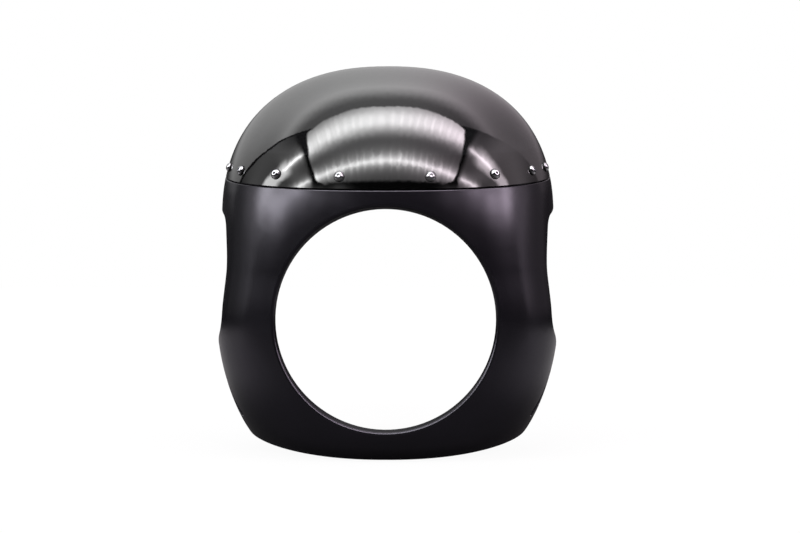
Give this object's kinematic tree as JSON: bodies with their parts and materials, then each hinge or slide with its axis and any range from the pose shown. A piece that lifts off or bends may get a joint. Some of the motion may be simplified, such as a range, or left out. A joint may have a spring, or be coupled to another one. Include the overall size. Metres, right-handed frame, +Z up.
{
  "type": "headlight cowl",
  "caption": "Satin black headlight cowl with a round lamp opening, a flush smoked screen on a screw flange, side gaps for fork stays and threaded inserts inside.",
  "frame": {"origin": "centre of the lamp opening, on its axis", "axes": "+Y along the lamp axis to the rear, +Z up as mounted, +X to the right as seen from the front"},
  "size_m": [0.2986, 0.1353, 0.3416],
  "materials": {
    "shell_plastic": "satin black, fine moulded texture",
    "smoked_screen": "gloss, dark smoke tint, see-through",
    "screw_chrome": "polished",
    "washer_nylon": "black nylon",
    "nut_steel": "zinc plated",
    "insert_brass": "turned"
  },
  "bodies": {
    "root": {"cowl_shell": "shell_plastic", "windscreen": "smoked_screen", "screen_screws": "screw_chrome", "screen_washers": "washer_nylon", "screen_nuts": "nut_steel", "mount_inserts": "insert_brass"}
  },
  "joints": []
}
